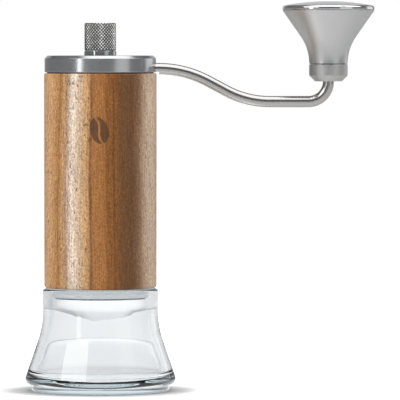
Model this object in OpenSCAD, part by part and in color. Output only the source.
// Hand-cranked burr coffee grinder: flared glass jar, wooden body, metal lid with a bent crank arm.
// The model stands on the jar's base at z = 0, on the axis of the body. The crank arm points along +X.
// Units are millimetres.

/* [Jar] */
// Height of the glass jar
jar_h = 50.8; // [49.5:0.1:53]
// Outside diameter of the jar's straight neck
jar_neck_d = 57.2; // [56.6:0.1:58]
// Diameter of the mouth
jar_mouth_d = 48.2; // [48.2:0.1:48.8]
// Angle of the flared skirt from the vertical
jar_skirt_angle = 19.3; // [17:0.1:21]
// Thickness of the jar's floor
jar_floor_t = 5.5; // [4.5:0.1:7]

/* [Body] */
// Outside diameter of the wooden sleeve
sleeve_d = 56; // [55.6:0.1:57]
// Length of the wooden sleeve
sleeve_h = 106.7; // [104:0.1:112]
// Outside diameter of the metal tube inside the sleeve
tube_d = 45; // [44.9:0.1:45.1]
// Wall thickness of the metal tube
tube_wall = 1; // [0.9:0.05:1]

/* [Lid] */
// Diameter of the lid
lid_d = 55.4; // [54.8:0.1:56]
// Thickness of the lid above the sleeve
lid_h = 8.3; // [8:0.1:9]
// Chamfer on the lid's top edge
lid_chamfer = 1.6; // [0.8:0.1:2]

/* [Crank] */
// Diameter of the arm's rod
arm_d = 5.6; // [5:0.1:6]
// Distance from the body's axis to the handle's axis
crank_r = 113.5; // [110:0.5:125]
// How far the arm drops between the lid and the handle
arm_drop = 16.4; // [14:0.1:18]
// Bend radius next to the lid, on the rod's centreline
upper_bend_r = 52; // [46:1:56]
// Bend radius at the bottom of the slope
lower_bend_r = 46; // [40:1:50]
// Angle of the slope below the horizontal
slope_angle = 28; // [27:0.5:30]
// Radius of the elbow that turns up into the handle
elbow_r = 10; // [9:0.5:11]

/* [Handle] */
// Diameter of the handle's wide end
handle_d = 45.8; // [45.4:0.1:46.2]
// Diameter of the collar and of the handle's neck
collar_d = 19.2; // [19:0.1:19.6]
// Height of the collar
collar_h = 8.4; // [8:0.1:9]
// Height of the handle's shell above the collar
shell_h = 26.5; // [26.3:0.1:26.7]
// Angle of the handle's cone from the vertical
cone_angle = 34.9; // [34.6:0.1:35.2]
// Radius of the sweep from the neck into the cone
sweep_r = 23; // [22.5:0.5:23.5]
// Height of the domed cap above the shell
cap_h = 4.45; // [4.2:0.05:4.8]

/* [Adjuster] */
// Diameter of the adjusting knob
adjuster_d = 16; // [15.6:0.1:18]
// Height of the adjusting knob
adjuster_h = 13.8; // [13.6:0.1:16]
// Height of the click ring under the knob
click_h = 2.3; // [2.2:0.1:2.6]
// Number of detent dimples in the click ring
click_count = 12; // [8:1:16]

/* [Burrs] */
// Outside diameter of the outer burr
burr_d = 35; // [34.8:0.1:35]
// Height of both burrs
burr_h = 14; // [13.8:0.1:14]
// Radial gap between the burrs as set
burr_gap = 0.35; // [0.3:0.05:0.6]
// Number of fine teeth on each burr
fine_teeth = 30; // [20:1:32]
// Number of coarse flutes on each burr
coarse_flutes = 6; // [5:1:7]

/* [Hidden] */
$fn = 96;

// Gaps: fit_gap between pressed or glued pieces, run_gap where one turns or slides on another
fit_gap = 0.02;
run_gap = 0.05;
cut = 1; // how far a cutter runs past the face it cuts

// Heights of the main faces
sleeve_z0 = jar_h + 0.5;
sleeve_z1 = sleeve_z0 + sleeve_h;
lid_z0 = sleeve_z1 + 0.5;
lid_z1 = lid_z0 + lid_h;
click_z0 = lid_z1 + run_gap;
click_z1 = lid_z1 + click_h;
adjuster_z0 = click_z1 + 0.1;
adjuster_z1 = adjuster_z0 + adjuster_h;

// Radii of the tube and of what fits inside it
tube_r = tube_d / 2;
tube_bore_r = tube_r - tube_wall;
tube_z0 = sleeve_z0 - 5.3;
insert_r = tube_bore_r - fit_gap;
spigot_r = tube_bore_r - 0.3;
spigot_z0 = lid_z0 - 6;

// Shaft and threads
hex_af = 6;
hex_bore_af = hex_af + 0.15;
thread_r = 2.95;
tapped_r = thread_r + 0.08;
boss_r = 8;
boss_z0 = spigot_z0 - 3.45;

// Ball bearings: 10 x 19 x 5 mm, nine balls
race_bore_r = 5;
race_r = 9.5;
race_w = 5;
inner_shoulder_r = 6.4;
outer_shoulder_r = 8.1;
ball_r = 1.2;
ball_path_r = (inner_shoulder_r + outer_shoulder_r) / 2;
ball_count = 9;
upper_race_z0 = boss_z0 - 6.65;
lip_h = 1.4;

// Burr chamber
carrier_z0 = tube_z0;
burr_z0 = carrier_z0 + 4;
burr_z1 = burr_z0 + burr_h;
burr_r = burr_d / 2;
carrier_z1 = carrier_z0 + 30;
lower_race_z0 = carrier_z1 + lip_h;
fine_zone_h = 5;
fine_slope = 0.143;
outer_burr_foot_r = 15;
inner_burr_foot_r = outer_burr_foot_r - burr_gap;
bridge_arms = 3;

// Arm
arm_r = arm_d / 2;
arm_z = lid_z0 + 1.8;
arm_low_z = arm_z - arm_drop;
arm_tail_x = 8.2;
bend_x0 = lid_d / 2 + 1.3;
slope_drop = arm_drop - (upper_bend_r + lower_bend_r) * (1 - cos(slope_angle));
slope_len = slope_drop / sin(slope_angle);
bend_x1 = bend_x0 + upper_bend_r * sin(slope_angle);
bend_x2 = bend_x1 + slope_len * cos(slope_angle);
bend_x3 = bend_x2 + lower_bend_r * sin(slope_angle);
arm_relief_z = lid_z0 + 0.25;

// Handle
collar_z0 = arm_low_z + elbow_r + 0.1;
collar_z1 = collar_z0 + collar_h;
shell_z0 = collar_z1 + 0.45;
shell_z1 = shell_z0 + shell_h;
cap_z0 = shell_z1 + run_gap;
cap_z1 = cap_z0 + cap_h;
cap_dome_r = 118;
arm_end_z = collar_z0 + 4.3;
spindle_r = 3;
spindle_z1 = shell_z0 + 16.4;
bush_r = 5;
bush_bore_r = spindle_r + run_gap;

// ---------- Shapes used more than once ----------

// Points of an arc about (cx, cy), from angle a0 to a1, in n steps
function arc(cx, cy, r, a0, a1, n = 8) =
    [for (i = [0:n]) let (a = a0 + (a1 - a0) * i / n) [cx + r * cos(a), cy + r * sin(a)]];

// Radius at height z of a wall that runs straight down to blend_z and then sweeps out into a cone
function flare_r(neck_r, blend_z, blend_r, a, z) =
    neck_r + blend_r * (1 - cos(a)) + (blend_z - blend_r * sin(a) - z) * tan(a);

module lathe(points) {
    rotate_extrude() polygon(points);
}

module ring(r_out, r_in, z0, z1) {
    lathe([[r_in, z0], [r_out, z0], [r_out, z1], [r_in, z1]]);
}

module rod(r, z0, z1) {
    translate([0, 0, z0]) cylinder(r = r, h = z1 - z0);
}

module hex_bar(af, z0, z1) {
    translate([0, 0, z0]) cylinder(d = af / cos(30), h = z1 - z0, $fn = 6);
}

module around(count, start = 0) {
    for (i = [0:count - 1]) rotate([0, 0, start + i * 360 / count]) children();
}

// A closed ring cut through at one side, such as a circlip
module open_ring(r_out, r_in, z0, z1, gap_angle) {
    translate([0, 0, z0]) rotate([0, 0, gap_angle / 2])
        rotate_extrude(angle = 360 - gap_angle) translate([r_in, 0]) square([r_out - r_in, z1 - z0]);
}

// Height along a spring at u turns: close coils at both ends, an even pitch between
function coil_z(u, turns, h, dead_pitch) =
    u < 1 ? u * dead_pitch :
    u > turns - 1 ? h - (turns - u) * dead_pitch :
    dead_pitch + (u - 1) * (h - 2 * dead_pitch) / (turns - 2);

// Compression spring standing on z0 and reaching z1
module coil_spring(coil_r, wire_r, z0, z1, turns, steps = 12, sides = 6) {
    count = turns * steps;
    height = z1 - z0 - 2 * wire_r;
    dead_pitch = 2.08 * wire_r;
    points = [for (i = [0:count], k = [0:sides - 1])
        let (u = i / steps, a = u * 360, b = k * 360 / sides, r = coil_r + wire_r * cos(b))
        [r * cos(a), r * sin(a), z0 + wire_r + coil_z(u, turns, height, dead_pitch) + wire_r * sin(b)]];
    walls = [for (i = [0:count - 1], k = [0:sides - 1])
        let (k2 = (k + 1) % sides, a = i * sides, b = a + sides)
        each [[a + k, a + k2, b + k2], [a + k, b + k2, b + k]]];
    caps = [[for (k = [0:sides - 1]) sides - 1 - k], [for (k = [0:sides - 1]) count * sides + k]];
    polyhedron(points = points, faces = concat(walls, caps), convexity = 10);
}

// ---------- Jar ----------

module glass_jar() {
    neck_r = jar_neck_d / 2;
    mouth_r = jar_mouth_d / 2;
    rim_round = 1;
    blend_z = jar_h - 12.7;
    blend_r = 36;
    a = jar_skirt_angle;
    bulge_r = 3.3;
    bulge_z = 6;
    bulge_x = flare_r(neck_r, blend_z, blend_r, a, bulge_z + bulge_r * sin(a)) - bulge_r * cos(a);
    foot_r = bulge_x + 0.1;
    inner_blend_z = jar_h - 11.3;
    inner_blend_r = 30;
    inner_a = a - 1;
    corner_r = 3;
    corner_z = jar_floor_t + corner_r;
    corner_x = flare_r(mouth_r, inner_blend_z, inner_blend_r, inner_a, corner_z + corner_r * sin(inner_a))
        - corner_r * cos(inner_a);
    color([0.86, 0.93, 0.94, 0.45]) lathe(concat(
        [[0, 0]],
        arc(foot_r - 1, 1, 1, -90, 0, 6),
        [[foot_r, 2.3]],
        arc(bulge_x, bulge_z, bulge_r, -75, a, 12),
        arc(neck_r + blend_r, blend_z, blend_r, 180 + a, 180, 10),
        arc(neck_r - rim_round, jar_h - rim_round, rim_round, 0, 90, 6),
        arc(mouth_r + rim_round, jar_h - rim_round, rim_round, 90, 180, 6),
        arc(mouth_r + inner_blend_r, inner_blend_z, inner_blend_r, 180, 180 + inner_a, 10),
        arc(corner_x, corner_z, corner_r, inner_a, -90, 8),
        [[0, jar_floor_t]]
    ));
}

// ---------- Body ----------

module wood_sleeve() {
    bore_r = tube_r + run_gap;
    foot_round = 1.2;
    top_round = 0.6;
    color([0.62, 0.38, 0.2]) lathe(concat(
        [[bore_r, sleeve_z0]],
        arc(sleeve_d / 2 - foot_round, sleeve_z0 + foot_round, foot_round, -90, 0, 6),
        arc(sleeve_d / 2 - top_round, sleeve_z1 - top_round, top_round, 0, 90, 5),
        [[bore_r, sleeve_z1]]
    ));
}

module inner_tube() {
    color([0.75, 0.76, 0.77]) difference() {
        ring(tube_r, tube_bore_r, tube_z0, sleeve_z1);
        tube_screw_places() rotate([0, 90, 0]) cylinder(r = tube_screw_r + run_gap, h = 2 * tube_wall + 1);
    }
}

// Silicone plug round the tube's end, which shows a little below it: three ribs grip the mouth, a thin
// flange sits on the rim
module jar_seal() {
    bore_r = tube_r + fit_gap;
    rib_r = jar_mouth_d / 2 - 0.1;
    root_r = rib_r - 0.6;
    flange_r = sleeve_d / 2 - 1.5;
    flange_z = jar_h + run_gap;
    foot_z = tube_z0 + 0.8;
    ribs = 3;
    rib_pitch = (flange_z - foot_z) / ribs;
    color([0.93, 0.94, 0.94]) lathe(concat(
        [[bore_r, foot_z]],
        [for (i = [0:ribs - 1]) let (z = foot_z + i * rib_pitch)
            each [[root_r, z], [rib_r, z + rib_pitch * 0.35], [rib_r, z + rib_pitch * 0.65]]],
        [[root_r, flange_z], [flange_r, flange_z], [flange_r, sleeve_z0 - fit_gap], [bore_r, sleeve_z0 - fit_gap]]
    ));
}

module glide_ring() {
    color([0.12, 0.12, 0.12])
        ring(sleeve_d / 2 - 1.4, tube_r + 0.1, sleeve_z1 + fit_gap, lid_z0 - 0.08);
}

// Six countersunk screws hold the burr carrier and the upper bridge in the tube
tube_screw_r = 1.5;
tube_screw_zs = [burr_z0 + 7, upper_race_z0 + 2];

module tube_screw_places() {
    for (z = tube_screw_zs)
        around(3, 90) translate([tube_r - 3, 0, z]) children();
}

module tube_screws() {
    color([0.35, 0.35, 0.36]) tube_screw_places() rotate([0, 90, 0]) difference() {
        cylinder(r = tube_screw_r, h = 3 - fit_gap);
        translate([0, 0, 2]) cylinder(d = 1.5, h = 2, $fn = 6);
    }
}

// ---------- Bridges and bearings ----------

// Three-armed frame with a bearing seat. ring_r_in is its outer ring's inner radius
module bridge(race_z0, ring_r_in, ring_h, hub_r) {
    z0 = race_z0 - lip_h;
    seat_r = race_r + fit_gap;
    clip_z0 = race_z0 + race_w;
    hub_top = clip_z0 + 1.6;
    arm_w = 4;
    difference() {
        union() {
            ring(insert_r, ring_r_in, z0, z0 + ring_h);
            rod(hub_r, z0, hub_top);
            around(bridge_arms, 90) translate([seat_r, -arm_w / 2, z0])
                cube([ring_r_in + 0.5 - seat_r, arm_w, ring_h - 0.6]);
        }
        rod(race_r - 1.2, z0 - cut, hub_top + cut);
        rod(seat_r, race_z0, hub_top + cut);
        ring(seat_r + 0.4, seat_r - cut, clip_z0, clip_z0 + 0.9);
    }
}

module upper_bridge() {
    color([0.7, 0.71, 0.72]) difference() {
        bridge(upper_race_z0, tube_bore_r - 2, 7, 11.4);
        tube_screw_places() rotate([0, 90, 0]) cylinder(r = tube_screw_r + fit_gap, h = 5);
    }
}

module lower_bridge() {
    color([0.7, 0.71, 0.72]) difference() {
        bridge(lower_race_z0, burr_r, 4.5, 11.2);
        carrier_screw_places() cylinder(r = carrier_screw_r + fit_gap, h = 30, center = true);
    }
}

module outer_race(z0) {
    difference() {
        ring(race_r, outer_shoulder_r, z0, z0 + race_w);
        ball_track(z0);
    }
}

module inner_race(z0) {
    difference() {
        ring(inner_shoulder_r, race_bore_r, z0, z0 + race_w);
        ball_track(z0);
    }
}

module ball_track(z0) {
    translate([0, 0, z0 + race_w / 2]) rotate_extrude()
        translate([ball_path_r, 0]) circle(r = ball_r + run_gap, $fn = 48);
}

module ball_places(z0) {
    around(ball_count) translate([ball_path_r, 0, z0 + race_w / 2]) children();
}

module ball_set(z0) {
    color([0.85, 0.86, 0.88]) ball_places(z0) sphere(r = ball_r, $fn = 48);
}

module ball_cage(z0) {
    color([0.72, 0.6, 0.3]) difference() {
        ring(ball_path_r + 0.45, ball_path_r - 0.45, z0 + 0.9, z0 + race_w - 0.9);
        ball_places(z0) sphere(r = ball_r + run_gap, $fn = 48);
    }
}

module circlip(race_z0) {
    z0 = race_z0 + race_w + run_gap;
    color([0.3, 0.3, 0.32]) open_ring(race_r + 0.35, race_r - 1.1, z0, z0 + 0.8, 30);
}

module upper_outer_race() { color([0.8, 0.81, 0.83]) outer_race(upper_race_z0); }
module lower_outer_race() { color([0.8, 0.81, 0.83]) outer_race(lower_race_z0); }
module upper_inner_race() { color([0.8, 0.81, 0.83]) inner_race(upper_race_z0); }
module lower_inner_race() { color([0.8, 0.81, 0.83]) inner_race(lower_race_z0); }
module upper_balls() { ball_set(upper_race_z0); }
module lower_balls() { ball_set(lower_race_z0); }
module upper_ball_cage() { ball_cage(upper_race_z0); }
module lower_ball_cage() { ball_cage(lower_race_z0); }
module upper_circlip() { circlip(upper_race_z0); }
module lower_circlip() { circlip(lower_race_z0); }

// Flanged bushes with a hexagonal bore pass the crank's turn to the shaft
module drive_bush(body_z0, body_z1, flange_z0, flange_z1) {
    color([0.55, 0.5, 0.38]) difference() {
        union() {
            rod(race_bore_r - fit_gap, body_z0, body_z1);
            rod(inner_shoulder_r - 0.1, flange_z0, flange_z1);
        }
        hex_bar(hex_bore_af, min(body_z0, flange_z0) - cut, max(body_z1, flange_z1) + cut);
    }
}

module upper_drive_bush() {
    flange_z0 = upper_race_z0 + race_w + fit_gap;
    drive_bush(upper_race_z0 - 0.5, flange_z0 + 0.5, flange_z0, boss_z0 - run_gap);
}

module lower_drive_bush() {
    flange_z1 = lower_race_z0 - fit_gap;
    drive_bush(flange_z1 - 0.5, lower_race_z0 + race_w + 0.6, flange_z1 - 2.3, flange_z1);
}

// ---------- Burrs ----------

carrier_screw_r = 1.25;
carrier_screw_x = (burr_r + insert_r) / 2;

module carrier_screw_places() {
    around(bridge_arms, 30) translate([carrier_screw_x, 0, carrier_z1]) children();
}

module burr_carrier() {
    exit_r = outer_burr_foot_r + 0.6;
    color([0.68, 0.69, 0.7]) difference() {
        lathe([
            [exit_r + 1.4, carrier_z0], [insert_r, carrier_z0], [insert_r, carrier_z1 - fit_gap],
            [burr_r + fit_gap, carrier_z1 - fit_gap], [burr_r + fit_gap, burr_z0], [exit_r, burr_z0],
            [exit_r, carrier_z0 + 1.4]
        ]);
        carrier_screw_places() cylinder(r = carrier_screw_r + fit_gap, h = 26, center = true);
        tube_screw_places() rotate([0, 90, 0]) cylinder(r = tube_screw_r + fit_gap, h = 5);
    }
}

module carrier_screws() {
    head_z = lower_race_z0 - lip_h + 4.5 + fit_gap - carrier_z1;
    color([0.35, 0.35, 0.36]) carrier_screw_places() difference() {
        union() {
            translate([0, 0, -12]) cylinder(r = carrier_screw_r, h = 12 + head_z + 1);
            translate([0, 0, head_z]) cylinder(r = 1.9, h = 1.6);
        }
        translate([0, 0, head_z + 0.7]) cylinder(d = 1.5, h = 2, $fn = 6);
    }
}

// Fine teeth are slots in the foot of the burr, coarse flutes are scoops that draw the beans in
module burr_cutters(r, z0, z1, slot_depth, slant) {
    for (i = [0:fine_teeth - 1]) rotate([0, 0, i * 360 / fine_teeth])
        translate([r, 0, z0]) rotate([slant, 0, 0])
            translate([-slot_depth, -0.4, -cut]) cube([2 * slot_depth, 0.8, z1 - z0 + 2 * cut]);
}

module inner_burr() {
    waist_r = inner_burr_foot_r - fine_slope * fine_zone_h;
    waist_z = burr_z0 + fine_zone_h;
    top_r = 7;
    nut_recess_z = burr_z0 + 4.05;
    flute_lean = 42;
    color([0.5, 0.51, 0.53]) difference() {
        lathe([[0, burr_z0], [inner_burr_foot_r, burr_z0], [waist_r, waist_z], [top_r, burr_z1], [0, burr_z1]]);
        hex_bar(hex_bore_af, burr_z0, burr_z1 + cut);
        rod(7, burr_z0 - cut, nut_recess_z);
        burr_cutters(inner_burr_foot_r, burr_z0, waist_z, 0.8, 12);
        around(coarse_flutes) translate([12.4, 0, waist_z + 4.6]) rotate([14, -flute_lean, 0])
            cylinder(r = 2.1, h = 15, center = true);
    }
}

module outer_burr() {
    throat_z = burr_z0 + fine_zone_h + 1;
    throat_r = outer_burr_foot_r - fine_slope * (fine_zone_h + 1);
    mouth_r = burr_r - 1;
    flute_lean = 13;
    color([0.5, 0.51, 0.53]) difference() {
        lathe([
            [outer_burr_foot_r, burr_z0], [burr_r, burr_z0], [burr_r, burr_z1], [mouth_r, burr_z1],
            [throat_r, throat_z]
        ]);
        burr_cutters(outer_burr_foot_r, burr_z0, throat_z, 0.7, -12);
        around(coarse_flutes) translate([throat_r + 0.3, 0, burr_z1 - 1]) rotate([-14, flute_lean, 0])
            cylinder(r = 1.4, h = 12, center = true);
    }
}

module burr_retaining_ring() {
    color([0.6, 0.61, 0.62]) difference() {
        ring(burr_r - fit_gap, burr_r - 3, burr_z1 + fit_gap, burr_z1 + 2.5);
        around(4, 45) translate([burr_r - 1.5, 0, burr_z1]) cylinder(r = 0.7, h = 4);
    }
}

// ---------- Shaft ----------

module drive_shaft() {
    foot_z = burr_z0 - 0.4;
    hex_z0 = burr_z0 + 4.6;
    hex_z1 = lid_z1 - 5.3;
    top_z = adjuster_z1 - 3.5;
    end_chamfer = 0.5;
    color([0.78, 0.78, 0.8]) {
        hex_bar(hex_af, hex_z0, hex_z1);
        lathe([
            [0, foot_z], [thread_r - end_chamfer, foot_z], [thread_r, foot_z + end_chamfer],
            [thread_r, top_z - end_chamfer], [thread_r - end_chamfer, top_z], [0, top_z]
        ]);
    }
}

module burr_washer() {
    color([0.8, 0.8, 0.8]) ring(6.4, tapped_r, burr_z0 + 3.45, burr_z0 + 4.03);
}

module burr_nut() {
    color([0.6, 0.6, 0.62]) difference() {
        hex_bar(10, burr_z0 + 0.1, burr_z0 + 3.4);
        rod(tapped_r, burr_z0 - cut, burr_z0 + 5);
    }
}

module burr_spring() {
    color([0.7, 0.7, 0.72])
        coil_spring(4.6, 0.55, burr_z1 + 0.48, carrier_z1 - 1.0, 5);
}

module spring_washer() {
    color([0.8, 0.8, 0.8]) ring(6, 3.7, burr_z1 + fit_gap, burr_z1 + 0.45);
}

// ---------- Lid, arm and click ring ----------

o_ring_r = 0.75;
o_ring_z = spigot_z0 + 2.85;
set_screw_x = 14;

module crank_lid() {
    edge_round = 0.3;
    r = lid_d / 2;
    groove_r = spigot_r - 1.3;
    color([0.66, 0.67, 0.68]) difference() {
        lathe(concat(
            [[0, boss_z0], [boss_r, boss_z0], [boss_r, spigot_z0], [spigot_r, spigot_z0],
             [spigot_r, o_ring_z - 0.85], [groove_r, o_ring_z - 0.85], [groove_r, o_ring_z + 0.85],
             [spigot_r, o_ring_z + 0.85], [spigot_r, lid_z0]],
            arc(r - edge_round, lid_z0 + edge_round, edge_round, -90, 0, 3),
            [[r, lid_z1 - lid_chamfer], [r - lid_chamfer, lid_z1], [0, lid_z1]]
        ));
        hex_bar(hex_bore_af, boss_z0 - cut, lid_z1 - 3.6);
        rod(tapped_r + 0.1, boss_z0 - cut, lid_z1 + cut);
        translate([arm_tail_x - 0.2, 0, arm_z]) rotate([0, 90, 0]) cylinder(r = arm_r + fit_gap, h = 30);
        translate([set_screw_x, 0, spigot_z0 - cut]) cylinder(r = 1.5 + fit_gap, h = cut + arm_z - spigot_z0);
    }
}

module lid_o_ring() {
    color([0.15, 0.15, 0.15]) translate([0, 0, o_ring_z]) rotate_extrude()
        translate([spigot_r - o_ring_r + 0.2, 0]) circle(r = o_ring_r, $fn = 32);
}

// An arc of rod in the XZ plane about (cx, cz), starting at angle a0
module rod_bend(cx, cz, bend_r, a0, sweep) {
    translate([cx, 0, cz]) rotate([90, 0, 0]) rotate([0, 0, a0])
        rotate_extrude(angle = sweep) translate([bend_r, 0]) circle(r = arm_r, $fn = 64);
}

// A straight of rod in the XZ plane, falling at an angle below +X
module rod_straight(x, z, fall, length) {
    translate([x, 0, z]) rotate([0, 90 + fall, 0]) cylinder(r = arm_r, h = length);
}

// Ball a hair wider than the rod, so that a straight and a bend that only touch become one solid
module rod_joint(x, z) {
    translate([x, 0, z]) sphere(r = arm_r + 0.02);
}

module crank_arm() {
    elbow_x = crank_r - elbow_r;
    elbow_z = arm_low_z + elbow_r;
    slope_z = arm_z - upper_bend_r * (1 - cos(slope_angle));
    slope_end_z = slope_z - slope_len * sin(slope_angle);
    joints = [
        [bend_x0, arm_z], [bend_x1, slope_z], [bend_x2, slope_end_z],
        [bend_x3, arm_low_z], [elbow_x, arm_low_z], [crank_r, elbow_z]
    ];
    color([0.72, 0.71, 0.7]) difference() {
        union() {
            rod_straight(arm_tail_x, arm_z, 0, bend_x0 - arm_tail_x);
            rod_bend(bend_x0, arm_z - upper_bend_r, upper_bend_r, 90 - slope_angle, slope_angle);
            rod_straight(bend_x1, slope_z, slope_angle, slope_len);
            rod_bend(bend_x3, arm_low_z + lower_bend_r, lower_bend_r, 270 - slope_angle, slope_angle);
            rod_straight(bend_x3, arm_low_z, 0, elbow_x - bend_x3);
            rod_bend(elbow_x, elbow_z, elbow_r, 270, 90);
            translate([crank_r, 0, elbow_z]) cylinder(r = arm_r, h = arm_end_z - elbow_z);
            for (j = joints) rod_joint(j[0], j[1]);
        }
        // flat underneath, so that the arm clears the sleeve's edge
        translate([spigot_r + 0.1, -arm_d, arm_relief_z - arm_d])
            cube([lid_d / 2 + 1.6 - spigot_r - 0.1, 2 * arm_d, arm_d]);
    }
}

module arm_set_screw() {
    color([0.3, 0.3, 0.32]) difference() {
        translate([set_screw_x, 0, spigot_z0 + 1]) cylinder(r = 1.5, h = arm_z - arm_r - run_gap - spigot_z0 - 1);
        translate([set_screw_x, 0, spigot_z0]) cylinder(d = 1.7, h = 2.5, $fn = 6);
    }
}

detent_r = 0.9;
detent_x = 5.5;
detent_z = click_z1 + 0.35;

module click_ring() {
    edge = 0.25;
    r = adjuster_d / 2;
    color([0.72, 0.72, 0.73]) difference() {
        lathe([
            [thread_r + 0.3, click_z0], [r, click_z0], [r, click_z1 - edge], [r - edge, click_z1],
            [thread_r + 0.3, click_z1]
        ]);
        translate([0, 0, detent_z]) rotate_extrude()
            translate([detent_x, 0]) circle(r = detent_r + run_gap, $fn = 48);
        around(click_count) translate([detent_x, 0, detent_z - 0.25]) sphere(r = detent_r, $fn = 32);
    }
}

// ---------- Adjusting knob ----------

module adjusting_knob() {
    edge = 0.5;
    r = adjuster_d / 2;
    color([0.45, 0.45, 0.44]) difference() {
        lathe([
            [0, adjuster_z0], [r - edge, adjuster_z0], [r, adjuster_z0 + edge], [r, adjuster_z1 - edge],
            [r - edge, adjuster_z1], [0, adjuster_z1]
        ]);
        rod(tapped_r, adjuster_z0 - cut, adjuster_z1 - 1.8);
        translate([detent_x, 0, adjuster_z0 - cut]) cylinder(r = detent_r + run_gap, h = cut + 4.3);
    }
}

module detent_ball() {
    color([0.85, 0.86, 0.88]) translate([detent_x, 0, detent_z]) sphere(r = detent_r, $fn = 48);
}

module detent_spring() {
    color([0.7, 0.7, 0.72]) translate([detent_x, 0, 0])
        coil_spring(0.62, 0.15, detent_z + detent_r + 0.03, adjuster_z0 + 4.25, 7, 10, 5);
}

// ---------- Handle ----------

module handle_collar() {
    r = collar_d / 2;
    chamfer = 2.9;
    color([0.63, 0.63, 0.62]) translate([crank_r, 0, 0]) difference() {
        lathe([
            [0, collar_z0], [r - chamfer, collar_z0], [r, collar_z0 + chamfer], [r, collar_z1 - 0.15],
            [r - 0.15, collar_z1], [0, collar_z1]
        ]);
        rod(arm_r + fit_gap, collar_z0 - cut, arm_end_z + fit_gap);
        rod(spindle_r + fit_gap, arm_end_z, collar_z1 + cut);
    }
}

module handle_spindle() {
    edge = 0.3;
    color([0.78, 0.78, 0.8]) translate([crank_r, 0, 0]) difference() {
        lathe([
            [0, arm_end_z + 2 * fit_gap], [spindle_r, arm_end_z + 2 * fit_gap], [spindle_r, spindle_z1 - edge],
            [spindle_r - edge, spindle_z1], [0, spindle_z1]
        ]);
        rod(1.5 + fit_gap, spindle_z1 - 9, spindle_z1 + cut);
    }
}

module spindle_washer() {
    color([0.8, 0.8, 0.8]) translate([crank_r, 0, 0]) ring(6, 1.6, spindle_z1 + fit_gap, spindle_z1 + 0.8);
}

module spindle_screw() {
    head_z = spindle_z1 + 0.8 + fit_gap;
    color([0.4, 0.4, 0.42]) translate([crank_r, 0, 0]) difference() {
        union() {
            rod(1.5, spindle_z1 - 8, head_z + 0.5);
            lathe(concat([[0, head_z], [2.9, head_z]], arc(0, head_z - 0.6, 3, 11.5, 90, 6)));
        }
        hex_bar(2, head_z + 0.9, head_z + 4);
    }
}

module handle_shell() {
    neck_r = collar_d / 2;
    rim_r = handle_d / 2;
    cone_z0 = shell_z0 + sweep_r * sin(cone_angle) + 0.2;
    cone_r0 = neck_r + sweep_r * (1 - cos(cone_angle));
    hub_r = 7.6;
    hub_z1 = spindle_z1 - 1.4;
    floor_z = shell_z0 + 10.4;
    mouth_r = rim_r - 3.5;
    mouth_z = shell_z1 - 2.7;
    wall = 2.2;
    color([0.68, 0.68, 0.68]) translate([crank_r, 0, 0]) lathe(concat(
        [[bush_r, shell_z0]],
        arc(neck_r + sweep_r, shell_z0 + 0.2, sweep_r, 180, 180 - cone_angle, 12),
        [[cone_r0 + (shell_z1 - cone_z0) * tan(cone_angle), shell_z1], [mouth_r, shell_z1], [mouth_r, mouth_z],
         [cone_r0 - wall / 2, cone_z0], [hub_r + 2.2, floor_z], [hub_r, floor_z], [hub_r, hub_z1], [bush_r, hub_z1]]
    ));
}

module handle_cap() {
    rim_r = handle_d / 2;
    rim_round = 1.2;
    spigot_r = rim_r - 3.5 - run_gap;
    hollow_r = spigot_r - 1.6;
    dome_z = cap_z1 - cap_dome_r;
    color([0.78, 0.78, 0.78]) translate([crank_r, 0, 0]) lathe(concat(
        [[0, cap_z0 + 1], [hollow_r, cap_z0 + 1], [hollow_r, cap_z0 - 2.5], [spigot_r, cap_z0 - 2.5],
         [spigot_r, cap_z0], [rim_r - 0.15, cap_z0]],
        arc(rim_r - rim_round, cap_z0 + 1.05, rim_round, -10, 76, 6),
        arc(0, dome_z, cap_dome_r, 90 - asin((rim_r - 1.6) / cap_dome_r), 90, 10)
    ));
}

// Flanged plain bearings for the handle
module handle_bush(body_z0, body_z1, flange_r, flange_z0, flange_z1) {
    color([0.2, 0.2, 0.2]) translate([crank_r, 0, 0]) {
        ring(bush_r - fit_gap, bush_bore_r, body_z0, body_z1);
        ring(flange_r, bush_bore_r, flange_z0, flange_z1);
    }
}

module lower_handle_bush() {
    handle_bush(collar_z1 + 0.1, shell_z0 + 5.5, collar_d / 2 - 0.5, collar_z1 + 0.1, shell_z0 - fit_gap);
}

module upper_handle_bush() {
    hub_z1 = spindle_z1 - 1.4;
    handle_bush(hub_z1 - 5.5, hub_z1 + 1.2, 6.4, hub_z1 + fit_gap, hub_z1 + 1.2);
}

glass_jar();
wood_sleeve();
inner_tube();
jar_seal();
glide_ring();
tube_screws();
upper_bridge();
upper_outer_race();
upper_circlip();
lower_bridge();
lower_outer_race();
lower_circlip();
burr_carrier();
carrier_screws();
outer_burr();
burr_retaining_ring();
upper_balls();
upper_ball_cage();
lower_balls();
lower_ball_cage();
upper_inner_race();
upper_drive_bush();
lower_inner_race();
lower_drive_bush();
drive_shaft();
inner_burr();
burr_washer();
burr_nut();
burr_spring();
spring_washer();
crank_lid();
lid_o_ring();
crank_arm();
arm_set_screw();
click_ring();
handle_collar();
handle_spindle();
spindle_washer();
spindle_screw();
adjusting_knob();
detent_ball();
detent_spring();
handle_shell();
handle_cap();
lower_handle_bush();
upper_handle_bush();
